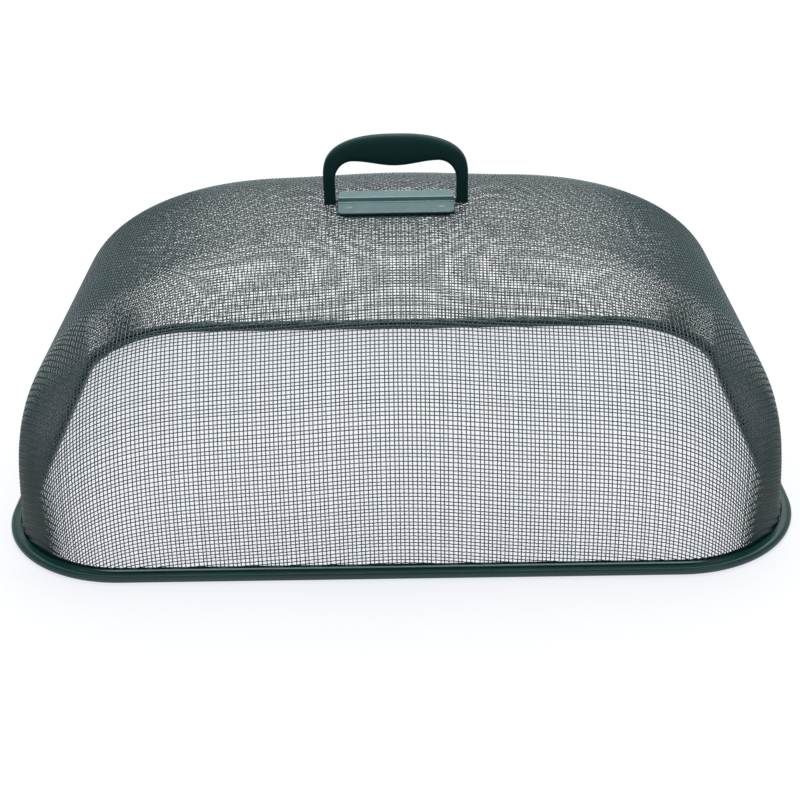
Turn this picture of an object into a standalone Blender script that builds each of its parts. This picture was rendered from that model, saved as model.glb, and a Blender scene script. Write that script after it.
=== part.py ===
"""Rigid mesh food cover with a fold-down carry handle.

A dome of woven wire cloth, pressed to a rounded rectangle, stands in a rolled steel rim. Its fine mesh
is drawn as a plain grid of bars and openings that leaves about the same share of it open. A pressed plate
on its crown and a flat plate inside hold the cloth between them, and a wire under the pressed plate's
channel carries a moulded handle that folds down to the front and to the back.

Metres, +Z up, the front of the cover towards -Y. The origin is on the resting plane, under the middle.
"""

import math
from itertools import product

import bmesh
import bpy
import numpy as np
from mathutils import Matrix, Vector


# Rim: one folded strip, seen from above as a rounded rectangle
rim_width = 0.468
rim_depth = 0.342
rim_corner_radius = 0.077
strip_thickness = 0.0006
rim_toe_radius = 0.0010
bead_face_width = 0.0030
bead_face_height = 0.0034
bead_face_turn = math.radians(64)
shelf_height = 0.0042
ridge_inset = 0.0048
ridge_width = 0.0005
ridge_rise = 0.0005
ridge_slope_width = 0.0004
slot_lip_height = 0.0039
slot_lip_foot_height = 0.0013
inner_leg_height = 0.0046
rim_bend_radius = 0.0008
seam_offset = 0.050
seam_gap = 0.0004

# Cloth dome: its foot is in the rim's slot, upright to the spring height and curved above it
cloth_inset = 0.0084
cloth_thickness = 0.0010
dome_spring_height = 0.0069
dome_rise = 0.1538
crown_flat_drop = 0.0008
side_rise_power = 3.3
side_spread_power = 2.4
front_rise_power = 2.5
front_spread_power = 2.7
ring_spacing_power = 2.9

# Grid of the cloth: the share of a cell's width that is bar, and the shares of the way down the cloth up to
# which the bars run straight over the roof and from which they run level round the walls
bar_share = 0.24
roof_share = 0.35
wall_share = 0.75

# Handle: a moulded bow, measured from the axis of the rod that it turns on
handle_width = 0.0884
handle_height = 0.0423
arch_rise = 0.0253
arch_power = 2.5
foot_width = 0.0072
foot_end_radius = 0.0023
hump_below_top = 0.0166
hump_reach = 0.0265
inner_corner_drop = 0.0117
belly_drop = 0.0030
grip_depth = 0.0100
neck_depth = 0.0088
shoulder_depth = 0.0082
grip_section_power = 2.6
foot_section_power = 5.0
socket_depth = 0.0047
hump_turn = math.radians(38)

# Rod and the plates that hold it and the cloth
rod_radius = 0.00125
rod_end_chamfer = 0.0003
plate_width = 0.040
plate_corner_radius = 0.0040
plate_sheet = 0.0008
plate_edge_round = 0.0004
plate_side_gap = 0.0013
dimple_mouth_radius = 0.0024
dimple_floor_radius = 0.0011
dimple_length_share = 0.78
dimple_width_share = 0.62
backing_inset = 0.0025
backing_thickness = 0.0008

# Clearances
seat_gap = 0.0003
running_gap = 0.0001
cut_overrun = 0.002

# Places that follow from the sizes above
half_strip = strip_thickness / 2
half_width = rim_width / 2
half_depth = rim_depth / 2
slot_lip_inset = cloth_inset - seat_gap - half_strip
inner_leg_inset = cloth_inset + cloth_thickness + seat_gap + half_strip
cloth_foot_height = strip_thickness + seat_gap
cloth_foot_x = half_width - cloth_inset
cloth_foot_y = half_depth - cloth_inset
corner_radius_share = (rim_corner_radius - cloth_inset) / cloth_foot_y
crown_height = dome_spring_height + dome_rise - crown_flat_drop
rod_height = crown_height + seat_gap + foot_end_radius
plate_top = rod_height
plate_foot = crown_height + seat_gap
handle_inner = handle_width / 2 - foot_width
plate_length = 2 * (handle_inner - plate_side_gap)
rod_length = 2 * (handle_inner + socket_depth - seat_gap)
hump_height = handle_height - hump_below_top
inner_side_height = hump_height - inner_corner_drop
arch_foot_height = handle_height - arch_rise
channel_radius = rod_radius + running_gap

# Counts that set how finely round shapes are divided
corner_steps = 10
cloth_cells = 12
opening_steps = 3
closed_strips = 2
profile_steps = 120
bead_face_steps = 5
bend_steps = 4
round_sides = 24
section_points = 20
grip_steps = 8
shoulder_steps = 7
leg_steps = 4
foot_steps = 4
quarter_turn = math.pi / 2
eighth_turn = math.pi / 4
full_turn = 2 * math.pi

# Angles above which an edge is shaded sharp
sheet_sharp_angle = math.radians(30)
moulded_sharp_angle = math.radians(50)


def clear_scene():
    """Remove every object that the scene starts with."""
    for thing in list(bpy.data.objects):
        bpy.data.objects.remove(thing, do_unlink=True)


def make_material(name, colour, roughness, metallic):
    """Return a Principled BSDF material of one colour."""
    material = bpy.data.materials.new(name)
    material.use_nodes = True
    shader = material.node_tree.nodes["Principled BSDF"]
    shader.inputs["Base Color"].default_value = (*colour, 1.0)
    shader.inputs["Roughness"].default_value = roughness
    shader.inputs["Metallic"].default_value = metallic
    return material


def add_object(name, mesh_edit, material=None, height=0.0):
    """Turn an edited mesh into a named object that stands at a height above the origin."""
    mesh = bpy.data.meshes.new(name)
    mesh_edit.to_mesh(mesh)
    mesh_edit.free()
    thing = bpy.data.objects.new(name, mesh)
    bpy.context.collection.objects.link(thing)
    thing.location.z = height
    if material:
        mesh.materials.append(material)
    return thing


def shade_round(thing, sharp_angle):
    """Shade an object smooth, with sharp edges where it bends by more than an angle."""
    thing.data.shade_smooth()
    thing.data.set_sharp_from_angle(angle=sharp_angle)


def loft(rings, close_start, close_end):
    """Join rings of points, each a closed loop, into one skin with its ends closed or left open.

    An open skin faces outward where its rings run anticlockwise and follow each other upward.
    """
    edit = bmesh.new()
    loops = [[edit.verts.new(point) for point in ring] for ring in rings]
    for first, second in zip(loops, loops[1:]):
        count = len(first)
        for index in range(count):
            after = (index + 1) % count
            edit.faces.new((first[index], first[after], second[after], second[index]))
    if close_start:
        edit.faces.new(reversed(loops[0]))
    if close_end:
        edit.faces.new(loops[-1])
    if close_start and close_end:
        bmesh.ops.recalc_face_normals(edit, faces=edit.faces)
    return edit


def use_cutter(target, cutter, operation):
    """Give an object a Boolean with another, which then stays out of the model."""
    cutter.hide_render = True
    cutter.display_type = "WIRE"
    change = target.modifiers.new(cutter.name, "BOOLEAN")
    change.operation = operation
    change.object = cutter
    change.solver = "EXACT"


def corner_arc(centre_x, centre_y, radius, start, steps):
    """Points of a quarter circle in plan, each with its outward direction."""
    stations = []
    for index in range(steps + 1):
        angle = start + quarter_turn * index / steps
        outward = Vector((math.cos(angle), math.sin(angle)))
        stations.append((Vector((centre_x, centre_y)) + outward * radius, outward))
    return stations


def rim_stations():
    """Stations round the rim's outer outline, from one side of the seam to the other."""
    reach_x = half_width - rim_corner_radius
    reach_y = half_depth - rim_corner_radius
    front = Vector((0.0, -1.0))
    first = (Vector((seam_offset + seam_gap / 2, -half_depth)), front)
    last = (Vector((seam_offset - seam_gap / 2, -half_depth)), front)
    corners = [
        (reach_x, -reach_y, -quarter_turn),
        (reach_x, reach_y, 0.0),
        (-reach_x, reach_y, quarter_turn),
        (-reach_x, -reach_y, 2 * quarter_turn),
    ]
    stations = [first]
    for centre_x, centre_y, start in corners:
        stations += corner_arc(centre_x, centre_y, rim_corner_radius, start, corner_steps)
    return stations + [last]


def bead_face(centre_inset, centre_height):
    """Curve of the bead's outer face, from its lower edge up to the crest."""
    points = []
    for index in range(bead_face_steps + 1):
        angle = bead_face_turn * index / bead_face_steps
        inset = centre_inset - bead_face_width * math.cos(angle)
        points.append(Vector((inset, centre_height + bead_face_height * math.sin(angle))))
    return points


def bend(centre_inset, centre_height, radius, start):
    """Quarter bend of the strip, clockwise in a section with its outer side on the left."""
    points = []
    for index in range(bend_steps + 1):
        angle = start - quarter_turn * index / bend_steps
        offset = Vector((math.cos(angle), math.sin(angle))) * radius
        points.append(Vector((centre_inset, centre_height)) + offset)
    return points


def strip_path():
    """Middle line of the folded strip in section, as inset from the outer face and height."""
    bend_centre = (inner_leg_inset - rim_bend_radius, half_strip + rim_bend_radius)
    toe_centre = (half_strip + rim_toe_radius, half_strip + rim_toe_radius)
    face = bead_face(half_strip + bead_face_width, half_strip + rim_toe_radius)
    path = [Vector((inner_leg_inset, inner_leg_height))]
    path += bend(*bend_centre, rim_bend_radius, 0.0)
    path += bend(*toe_centre, rim_toe_radius, -quarter_turn)[:-1]
    path += face
    path += [
        Vector((ridge_inset - ridge_slope_width, shelf_height)),
        Vector((ridge_inset, shelf_height + ridge_rise)),
        Vector((ridge_inset + ridge_width, shelf_height + ridge_rise)),
        Vector((ridge_inset + ridge_width + ridge_slope_width, slot_lip_height)),
        Vector((slot_lip_inset, slot_lip_height)),
        Vector((slot_lip_inset, slot_lip_foot_height)),
    ]
    return path


def thicken(path, thickness):
    """Closed outline of a sheet of a given thickness that follows a middle line, with mitred bends."""
    sides = ([], [])
    for index, point in enumerate(path):
        before = (point - path[index - 1]).normalized() if index else None
        after = (path[index + 1] - point).normalized() if index + 1 < len(path) else None
        along_in = before or after
        along_out = after or before
        normal_in = Vector((-along_in.y, along_in.x))
        normal_out = Vector((-along_out.y, along_out.x))
        mitre = (normal_in + normal_out).normalized()
        reach = thickness / 2 / mitre.dot(normal_in)
        sides[0].append(point + mitre * reach)
        sides[1].append(point - mitre * reach)
    return sides[0] + sides[1][::-1]


def build_rim(material):
    """Rolled rim: the folded section swept round the outline, its two ends butted at the seam."""
    section = thicken(strip_path(), strip_thickness)
    rings = []
    for place, outward in rim_stations():
        ring = []
        for inset, height in section:
            plan = place - outward * inset
            ring.append((plan.x, plan.y, height))
        rings.append(ring)
    rim = add_object("rim_strip", loft(rings, True, True), material)
    shade_round(rim, sheet_sharp_angle)
    return rim


def dome_levels():
    """Half sizes and heights of the dome's outer face, from the crown's middle down to the spring line."""
    crown_share = 1 - crown_flat_drop / dome_rise
    crown_angle = math.asin(crown_share ** (ring_spacing_power / 2))
    rise_share = np.sin(np.linspace(crown_angle, 0, profile_steps + 1)) ** (2 / ring_spacing_power)
    reach_x = cloth_foot_x * (1 - rise_share ** side_rise_power) ** (1 / side_spread_power)
    reach_y = cloth_foot_y * (1 - rise_share ** front_rise_power) ** (1 / front_spread_power)
    height = dome_spring_height + dome_rise * rise_share
    return np.append(0, reach_x), np.append(0, reach_y), np.append(crown_height, height)


def way_down(reach, height):
    """Share of the way down the cloth, from the crown's middle to the spring line, at each level."""
    way = np.append(0, np.cumsum(np.hypot(np.diff(reach), np.diff(height))))
    return way / way[-1]


def smooth_step(value, start, end):
    """Rises smoothly from 0 at the start to 1 at the end."""
    share = min(max((value - start) / (end - start), 0.0), 1.0)
    return share * share * (3 - 2 * share)


def roof_place(across, deep, levels):
    """Place on the roof where a bar from front to back crosses one from side to side, both straight."""
    reach_x, reach_y, height = levels
    x = np.interp(abs(across), way_down(reach_x, height), reach_x)
    y = np.interp(abs(deep), way_down(reach_y, height), reach_y)
    radius = corner_radius_share * np.minimum(reach_x, reach_y)
    past_x = x - reach_x + radius
    past_y = y - reach_y + radius
    round_corner = np.hypot(np.maximum(past_x, 0), np.maximum(past_y, 0))
    inside = radius - round_corner - np.minimum(np.maximum(past_x, past_y), 0)
    return (math.copysign(x, across), math.copysign(y, deep), np.interp(0, inside, height))


def side_place(share, reach, half_side, radius):
    """Place on one side of a rounded rectangle: how far out it lies, and how far along the side.

    The side runs from the middle of one rounded corner to the middle of the next.
    """
    straight = half_side - radius
    way = abs(share) * (straight + radius * eighth_turn)
    turn = max(0.0, way - straight) / radius
    along = min(way, straight) + radius * math.sin(turn)
    return reach - radius * (1 - math.cos(turn)), math.copysign(along, share)


def wall_place(across, deep, levels):
    """Place on the wall of a point given as two shares of the way from the crown to the spring line."""
    share = max(abs(across), abs(deep))
    reach_x, reach_y, height = levels
    places = np.arange(len(height))
    side_level = np.interp(share, way_down(reach_x, height), places)
    front_level = np.interp(share, way_down(reach_y, height), places)
    on_side = abs(across) >= abs(deep)
    turn = (deep if on_side else across) / share
    own_level = side_level if on_side else front_level
    level = own_level + ((side_level + front_level) / 2 - own_level) * turn ** 2
    half_x, half_y, z = (np.interp(level, places, sizes) for sizes in levels)
    radius = corner_radius_share * min(half_x, half_y)
    if on_side:
        x, y = side_place(turn, half_x, half_y, radius)
        return (math.copysign(x, across), y, z)
    y, x = side_place(turn, half_y, half_x, radius)
    return (x, math.copysign(y, deep), z)


def cloth_place(across, deep, levels):
    """Place on the dome of a point of the cloth: a straight grid on the roof, rings round the wall."""
    wall = smooth_step(max(abs(across), abs(deep)), roof_share, wall_share)
    if wall == 1:
        return Vector(wall_place(across, deep, levels))
    roof = Vector(roof_place(across, deep, levels))
    return roof.lerp(Vector(wall_place(across, deep, levels)), wall) if wall else roof


def cloth_lines():
    """Lines across the cloth from foot to foot, as shares from its middle, and which strips can be open."""
    lines = [-1.0]
    openings = [False]
    for cell in range(cloth_cells):
        start = cell + bar_share / 2
        for step in range(opening_steps + 1):
            lines.append(2 * (start + (1 - bar_share) * step / opening_steps) / cloth_cells - 1)
        openings += [True] * opening_steps + [False]
    return lines + [1.0], openings


def build_dome(material):
    """Cloth dome: a grid of bars over its outer face, thickened inward, with an upright foot all round.

    The strips round its middle, under the plates, stay closed.
    """
    levels = dome_levels()
    lines, openings = cloth_lines()
    middle = len(openings) // 2
    edit = bmesh.new()
    grid = [[edit.verts.new(cloth_place(across, deep, levels)) for deep in lines] for across in lines]
    for i, j in product(range(len(openings)), repeat=2):
        under_plates = max(abs(i - middle), abs(j - middle)) <= closed_strips
        if under_plates or not (openings[i] and openings[j]):
            edit.faces.new((grid[i][j], grid[i + 1][j], grid[i + 1][j + 1], grid[i][j + 1]))
    front = [line[0] for line in grid]
    back = [line[-1] for line in grid]
    border = front[:-1] + grid[-1][:-1] + back[:0:-1] + grid[0][:0:-1]
    foot = [edit.verts.new((place.co.x, place.co.y, cloth_foot_height)) for place in border]
    for index in range(len(border)):
        after = (index + 1) % len(border)
        edit.faces.new((foot[index], foot[after], border[after], border[index]))
    unused = [place for place in edit.verts if not place.link_faces]
    bmesh.ops.delete(edit, geom=unused, context="VERTS")
    dome = add_object("mesh_dome", edit, material)
    skin = dome.modifiers.new("cloth_thickness", "SOLIDIFY")
    skin.thickness = cloth_thickness
    skin.offset = -1.0
    skin.use_even_offset = True
    shade_round(dome, sheet_sharp_angle)
    return dome


def rounded_plan(length, width, radius):
    """Rounded rectangle in plan, as one closed loop of points."""
    inner_x = length / 2 - radius
    inner_y = width / 2 - radius
    corners = [
        (inner_x, -inner_y, -quarter_turn),
        (inner_x, inner_y, 0.0),
        (-inner_x, inner_y, quarter_turn),
        (-inner_x, -inner_y, 2 * quarter_turn),
    ]
    steps = corner_steps // 2
    return [place for x, y, start in corners for place, outward in corner_arc(x, y, radius, start, steps)]


def slab(length, width, radius, levels):
    """Body with a rounded rectangular plan, whose levels are pairs of inset and height."""
    rings = []
    for inset, height in levels:
        plan = rounded_plan(length - 2 * inset, width - 2 * inset, radius - inset)
        rings.append([(place.x, place.y, height) for place in plan])
    return loft(rings, True, True)


def long_cylinder(radius, length):
    """Cylinder that lies along X about the origin."""
    edit = bmesh.new()
    lie = Matrix.Rotation(quarter_turn, 4, "Y")
    bmesh.ops.create_cone(
        edit,
        cap_ends=True,
        segments=round_sides,
        radius1=radius,
        radius2=radius,
        depth=length,
        matrix=lie,
    )
    return edit


def cone_at(place_x, place_y, low, high, low_radius, high_radius):
    """Upright cone between two heights."""
    edit = bmesh.new()
    bmesh.ops.create_cone(
        edit,
        cap_ends=True,
        segments=round_sides,
        radius1=low_radius,
        radius2=high_radius,
        depth=high - low,
        matrix=Matrix.Translation((place_x, place_y, (low + high) / 2)),
    )
    return edit


def dimple_places():
    """Centres of the four weld dimples in plan."""
    reach_x = plate_length / 2 * dimple_length_share
    reach_y = plate_width / 2 * dimple_width_share
    return [(x, y) for x in (-reach_x, reach_x) for y in (-reach_y, reach_y)]


def cut_channel(plate):
    """Hollow under the plate, and the half-round channel over the rod, open below and at both ends."""
    ridge_edit = long_cylinder(channel_radius + plate_sheet, plate_length)
    use_cutter(plate, add_object("channel_ridge", ridge_edit, height=rod_height), "UNION")
    pocket_low = plate_foot - cut_overrun
    pocket_levels = [(plate_sheet, pocket_low), (plate_sheet, plate_top - plate_sheet)]
    pocket_edit = slab(plate_length, plate_width, plate_corner_radius, pocket_levels)
    use_cutter(plate, add_object("plate_pocket", pocket_edit), "DIFFERENCE")
    trough_edit = long_cylinder(channel_radius, plate_length + cut_overrun)
    use_cutter(plate, add_object("channel_trough", trough_edit, height=rod_height), "DIFFERENCE")
    notch_edit = bmesh.new()
    notch_size = (plate_length + cut_overrun, 2 * channel_radius, rod_height - pocket_low)
    notch_place = (0.0, 0.0, (rod_height + pocket_low) / 2)
    bmesh.ops.create_cube(
        notch_edit,
        size=1.0,
        matrix=Matrix.Translation(notch_place) @ Matrix.Diagonal((*notch_size, 1.0)),
    )
    use_cutter(plate, add_object("channel_notch", notch_edit), "DIFFERENCE")


def press_dimples(plate):
    """Four dimples that reach down from the plate's top to the cloth, one sheet thick."""
    floor = plate_foot + plate_sheet
    slope = (dimple_mouth_radius - dimple_floor_radius) / (plate_top - floor)
    wall_low = dimple_floor_radius + plate_sheet
    wall_high = dimple_mouth_radius + plate_sheet
    boss_top = plate_top - plate_sheet / 2
    mouth_top = plate_top + cut_overrun
    mouth_radius = dimple_mouth_radius + slope * cut_overrun
    for number, (x, y) in enumerate(dimple_places(), start=1):
        boss_edit = cone_at(x, y, plate_foot, boss_top, wall_low, wall_high)
        use_cutter(plate, add_object(f"dimple_boss_{number}", boss_edit), "UNION")
        mouth_edit = cone_at(x, y, floor, mouth_top, dimple_floor_radius, mouth_radius)
        use_cutter(plate, add_object(f"dimple_mouth_{number}", mouth_edit), "DIFFERENCE")


def build_handle_plate(material):
    """Pressed plate on the crown: a shallow tray turned down at its edges, with the rod's channel."""
    round_step = plate_edge_round * (1 - math.cos(eighth_turn))
    levels = [
        (0.0, plate_foot),
        (0.0, plate_top - plate_edge_round),
        (round_step, plate_top - round_step),
        (plate_edge_round, plate_top),
    ]
    body = slab(plate_length, plate_width, plate_corner_radius, levels)
    plate = add_object("handle_plate", body, material)
    cut_channel(plate)
    press_dimples(plate)
    shade_round(plate, sheet_sharp_angle)
    return plate


def build_backing_plate(material):
    """Flat plate inside the cover, under the cloth."""
    top = crown_height - cloth_thickness - seat_gap
    foot = top - backing_thickness
    length = plate_length - 2 * backing_inset
    width = plate_width - 2 * backing_inset
    levels = [
        (plate_edge_round, foot),
        (0.0, foot + plate_edge_round),
        (0.0, top),
    ]
    plate = add_object("backing_plate", slab(length, width, plate_corner_radius, levels), material)
    shade_round(plate, sheet_sharp_angle)
    return plate


def build_rod(material):
    """Round wire along X, with chamfered ends that lie in the handle's sockets."""
    half = rod_length / 2
    stations = [
        (-half, rod_radius - rod_end_chamfer),
        (rod_end_chamfer - half, rod_radius),
        (half - rod_end_chamfer, rod_radius),
        (half, rod_radius - rod_end_chamfer),
    ]
    rings = []
    for place, radius in stations:
        angles = [full_turn * side / round_sides for side in range(round_sides)]
        rings.append([(place, radius * math.cos(angle), radius * math.sin(angle)) for angle in angles])
    rod = add_object("pivot_rod", loft(rings, True, True), material, rod_height)
    shade_round(rod, moulded_sharp_angle)
    return rod


def arch_point(turn):
    """Point of the handle's outer outline, at an angle down from its top."""
    reach = abs(math.sin(turn)) ** (2 / arch_power)
    rise = abs(math.cos(turn)) ** (2 / arch_power)
    return Vector((handle_width / 2 * reach, arch_foot_height + arch_rise * rise))


def under_grip(share):
    """Point of the inner outline between the belly's middle (0) and the hump (1)."""
    swell = belly_drop * (1 + math.cos(math.pi * share)) / 2
    return Vector((hump_reach * share, hump_height - swell))


def inner_corner(share):
    """Point of the inner outline between the hump (0) and the leg's inner side (1)."""
    turn = quarter_turn * share
    reach = hump_reach + (handle_inner - hump_reach) * math.sin(turn)
    return Vector((reach, hump_height - inner_corner_drop * (1 - math.cos(turn))))


def blend(start, end, share):
    """Value between two others."""
    return start + (end - start) * share


def handle_stations():
    """Stations from the grip's middle to one foot's end: outer point, inner point, depth and power."""
    stations = []
    for index in range(grip_steps):
        share = index / grip_steps
        depth = blend(grip_depth, neck_depth, math.sin(quarter_turn * share) ** 2)
        outer = arch_point(hump_turn * share)
        stations.append((outer, under_grip(share), depth, grip_section_power))
    for index in range(shoulder_steps):
        share = index / shoulder_steps
        outer = arch_point(blend(hump_turn, quarter_turn, share))
        depth = blend(neck_depth, shoulder_depth, share)
        power = blend(grip_section_power, foot_section_power, share)
        stations.append((outer, inner_corner(share), depth, power))
    for index in range(leg_steps):
        share = index / leg_steps
        outer = Vector((handle_width / 2, blend(arch_foot_height, 0.0, share)))
        inner = Vector((handle_inner, blend(inner_side_height, 0.0, share)))
        depth = blend(shoulder_depth, 2 * foot_end_radius, share)
        stations.append((outer, inner, depth, foot_section_power))
    last_turn = quarter_turn * (foot_steps - 0.5) / foot_steps
    for index in range(foot_steps + 1):
        turn = last_turn * index / foot_steps
        height = -foot_end_radius * math.sin(turn) / math.sin(last_turn)
        depth = 2 * foot_end_radius * math.cos(turn)
        outer = Vector((handle_width / 2, height))
        inner = Vector((handle_inner, height))
        stations.append((outer, inner, depth, foot_section_power))
    return stations


def section_ring(outer, inner, depth, power, side):
    """Rounded section of the handle between its outer and inner outlines, on one side of the middle."""
    middle = (outer + inner) / 2
    reach = (outer - inner) / 2
    ring = []
    for index in range(section_points):
        angle = full_turn * (index + 0.5) / section_points
        cosine = math.cos(angle)
        sine = math.sin(angle)
        along = math.copysign(abs(cosine) ** (2 / power), cosine)
        across = math.copysign(abs(sine) ** (2 / power), sine)
        place = middle + reach * along
        ring.append((side * place.x, depth / 2 * across, place.y))
    return ring


def build_handle(material):
    """Moulded bow with a swollen grip, on the rod's axis, with a blind socket in each foot."""
    half = handle_stations()
    left = [section_ring(*station, -1) for station in reversed(half[1:])]
    right = [section_ring(*station, 1) for station in half]
    handle = add_object("carry_handle", loft(left + right, True, True), material, rod_height)
    socket_length = 2 * (handle_inner + socket_depth)
    socket_edit = long_cylinder(channel_radius, socket_length)
    use_cutter(handle, add_object("handle_sockets", socket_edit, height=rod_height), "DIFFERENCE")
    shade_round(handle, moulded_sharp_angle)
    return handle


def build_cover():
    """Build the whole cover."""
    clear_scene()
    dark_green = (0.012, 0.035, 0.032)
    plate_green = (0.055, 0.120, 0.110)
    plastic_green = (0.006, 0.018, 0.016)
    build_rim(make_material("rim_paint", dark_green, 0.35, 0.0))
    build_dome(make_material("cloth_coating", dark_green, 0.45, 0.0))
    build_handle_plate(make_material("plate_paint", plate_green, 0.30, 0.0))
    build_backing_plate(make_material("backing_paint", dark_green, 0.40, 0.0))
    build_rod(make_material("rod_paint", dark_green, 0.35, 0.0))
    build_handle(make_material("handle_plastic", plastic_green, 0.50, 0.0))


build_cover()
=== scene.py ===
"""Woven wire food cover with a rolled rim and a fold-down carry handle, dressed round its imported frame.

Metres, +Z up, the front of the cover towards -Y. The origin is on the resting plane, under the middle.
"""

import sys

import logging
import math
from collections.abc import Sequence
from dataclasses import dataclass, field
from enum import Enum

import bpy
import numpy as np
from mathutils import Matrix, Vector


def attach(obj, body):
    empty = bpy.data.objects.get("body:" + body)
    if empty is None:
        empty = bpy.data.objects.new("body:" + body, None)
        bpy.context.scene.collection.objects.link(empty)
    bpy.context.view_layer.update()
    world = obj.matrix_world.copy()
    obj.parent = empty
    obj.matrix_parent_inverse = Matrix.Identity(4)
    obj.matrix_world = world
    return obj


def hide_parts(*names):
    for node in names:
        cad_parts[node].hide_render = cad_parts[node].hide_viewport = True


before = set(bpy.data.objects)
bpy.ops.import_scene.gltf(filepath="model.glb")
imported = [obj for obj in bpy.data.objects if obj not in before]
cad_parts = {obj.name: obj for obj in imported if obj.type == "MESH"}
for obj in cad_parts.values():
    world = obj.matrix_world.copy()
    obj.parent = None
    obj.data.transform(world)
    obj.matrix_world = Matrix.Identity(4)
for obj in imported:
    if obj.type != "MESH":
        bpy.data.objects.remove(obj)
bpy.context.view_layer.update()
QUARTER_TURN = math.pi / 2
FULL_TURN = 2 * math.pi
NOISE_MIDDLE = (0.3, 0.7)
ROD_HEIGHT = 0.1625
log = logging.getLogger("cover")

Colour = tuple[float, float, float]
Point = tuple[float, float, float]
Ring = list[Point]
Skin = tuple[list[Point], list[tuple[int, ...]]]


class Body(Enum):
    """Moving bodies of the frame."""

    COVER = "cover"
    HANDLE = "handle"


class Slot(Enum):
    """Material slots of the part's record."""

    RIM = "rim_paint"
    CLOTH = "cloth_coating"
    PLATE = "plate_paint"
    BACKING = "backing_paint"
    ROD = "rod_paint"
    HANDLE = "handle_plastic"


class Lay(Enum):
    """Directions in which the cloth's wires run."""

    LENGTHWISE = "lengthwise"
    CROSSWISE = "crosswise"


class Cut(Enum):
    """Ways in which one body changes another."""

    JOIN = "UNION"
    REMOVE = "DIFFERENCE"


def put(name: str, data: bpy.types.ID) -> bpy.types.Object:
    """Put a new object into the scene.

    Args:
        name: Name of the object.
        data: Mesh, light or camera that it shows.

    Returns:
        The new object.
    """
    made = bpy.data.objects.new(name, data)
    bpy.context.scene.collection.objects.link(made)
    return made


@dataclass(frozen=True)
class PaintedLightBand:
    """Upper or lower part of a piece painted lighter or darker by height, as painted highlight, reflection
    or shade.
    """

    colour: Colour
    full_height: float
    clear_height: float


class Nodes:
    """Short way to add and join shader nodes in one tree."""

    def __init__(self, tree: bpy.types.NodeTree) -> None:
        """Take over a tree.

        Args:
            tree: Shader node tree that the nodes go into.
        """
        self.tree = tree

    def add(self, kind: str, **settings: object) -> bpy.types.Node:
        """Add one node.

        Args:
            kind: Blender's name of the node type.
            settings: Properties of the node to set.

        Returns:
            The new node.
        """
        node = self.tree.nodes.new(kind)
        for name, value in settings.items():
            setattr(node, name, value)
        return node

    def join(self, source: bpy.types.NodeSocket, target: bpy.types.NodeSocket) -> None:
        """Link an output to an input."""
        self.tree.links.new(source, target)

    def noise(self, place: bpy.types.NodeSocket, size: float, detail: float) -> bpy.types.NodeSocket:
        """Add a noise of a real size.

        Args:
            place: Socket that gives the place on the piece, in metres.
            size: Rough width of one blotch, in metres.
            detail: Number of finer layers.

        Returns:
            The noise's grey value.
        """
        node = self.add("ShaderNodeTexNoise")
        node.inputs["Scale"].default_value = 1 / size
        node.inputs["Detail"].default_value = detail
        self.join(place, node.inputs["Vector"])
        return node.outputs["Fac"]

    def spread(
        self, value: bpy.types.NodeSocket, known: tuple[float, float], wanted: tuple[float, float]
    ) -> bpy.types.NodeSocket:
        """Spread one range of a value over another, held at its ends.

        Args:
            value: Value to spread.
            known: Two values of it.
            wanted: Results for these two.

        Returns:
            The spread value.
        """
        node = self.add("ShaderNodeMapRange")
        for name, number in zip(("From Min", "From Max", "To Min", "To Max"), known + wanted, strict=True):
            node.inputs[name].default_value = number
        self.join(value, node.inputs["Value"])
        return node.outputs["Result"]

    def mix(
        self,
        share: bpy.types.NodeSocket,
        first: Colour | bpy.types.NodeSocket,
        second: Colour | bpy.types.NodeSocket,
    ) -> bpy.types.NodeSocket:
        """Mix two colours, each a plain one or another node's result.

        Args:
            share: How much of the second colour shows.
            first: Colour at share 0.
            second: Colour at share 1.

        Returns:
            The mixed colour.
        """
        node = self.add("ShaderNodeMix", data_type="RGBA")
        sockets = [socket for socket in node.inputs if socket.type == "RGBA"]
        for socket, colour in zip(sockets, (first, second), strict=True):
            if isinstance(colour, tuple):
                socket.default_value = (*colour, 1.0)
            else:
                self.join(colour, socket)
        self.join(share, node.inputs["Factor"])
        return next(socket for socket in node.outputs if socket.type == "RGBA")

    def fade(
        self, place: bpy.types.NodeSocket, band: PaintedLightBand, colour: bpy.types.NodeSocket
    ) -> bpy.types.NodeSocket:
        """Lay a band of painted light or shade over a colour, by height.

        Args:
            place: Socket that gives the place on the piece, in metres.
            band: Colour and heights of the painted light or shade.
            colour: Colour outside the band.

        Returns:
            The colour with the band.
        """
        split = self.add("ShaderNodeSeparateXYZ")
        self.join(place, split.inputs[0])
        share = self.spread(split.outputs["Z"], (band.full_height, band.clear_height), (0.0, 1.0))
        return self.mix(share, band.colour, colour)

    def relief(self, height: bpy.types.NodeSocket, depth: float) -> bpy.types.NodeSocket:
        """Turn a grey value into a bumped normal.

        Args:
            height: Grey value of the relief.
            depth: Depth of the relief, in metres.

        Returns:
            The bumped normal.
        """
        node = self.add("ShaderNodeBump")
        node.inputs["Distance"].default_value = depth
        self.join(height, node.inputs["Height"])
        return node.outputs["Normal"]

    def shader(self, kind: str, colour: Colour) -> bpy.types.Node:
        """Add a plain shader.

        Args:
            kind: Blender's name of the shader's node type.
            colour: Its colour.

        Returns:
            The new node.
        """
        node = self.add(kind)
        node.inputs["Color"].default_value = (*colour, 1.0)
        return node


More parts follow.
